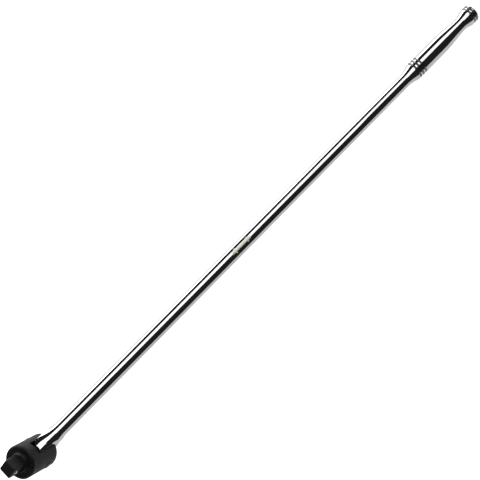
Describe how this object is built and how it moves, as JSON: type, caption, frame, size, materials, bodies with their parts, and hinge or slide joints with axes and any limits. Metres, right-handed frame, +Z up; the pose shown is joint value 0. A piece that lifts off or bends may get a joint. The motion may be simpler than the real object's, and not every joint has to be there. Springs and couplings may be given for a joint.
{
  "type": "breaker bar",
  "caption": "Long chromed bar with a turned end grip and a black swivel head; the forked head carries a male square with a spring ball and folds to either side.",
  "frame": {"origin": "on the bench, under the middle of the tool's bounding box as it lies with its head bent upwards", "axes": "+X along the bar from the hinge towards the grip, +Z up, towards the side the head is bent to, Y along the hinge pin, with the sprung ball on the -Y flat"},
  "size_m": [0.9342, 0.0482, 0.084],
  "materials": {
    "bar_chrome": "polished chrome plate",
    "head_black": "black phosphate, lightly oiled",
    "pin_black": "blackened steel",
    "ball_steel": "polished bearing steel",
    "spring_steel": "drawn spring wire"
  },
  "bodies": {
    "bar": {"bar": "bar_chrome"},
    "head": {"swivel_head": "head_black", "hinge_pin": "pin_black", "detent_spring": "spring_steel", "friction_ball": "ball_steel", "friction_spring": "spring_steel"},
    "ball": {"detent_ball": "ball_steel"}
  },
  "joints": [
    {"name": "head_tilt", "type": "hinge", "parent": "bar", "child": "head", "pos_m": [-0.4284, 0, 0.024], "axis": [0, -1, 0], "range_deg": [-29, 151]},
    {"name": "ball_press", "type": "slide", "parent": "head", "child": "ball", "axis": [0, 1, 0], "range_m": [0, 0.0013], "stiffness_N_per_m": 2000, "springref_m": -0.0015, "deforming": ["detent_spring"]}
  ]
}
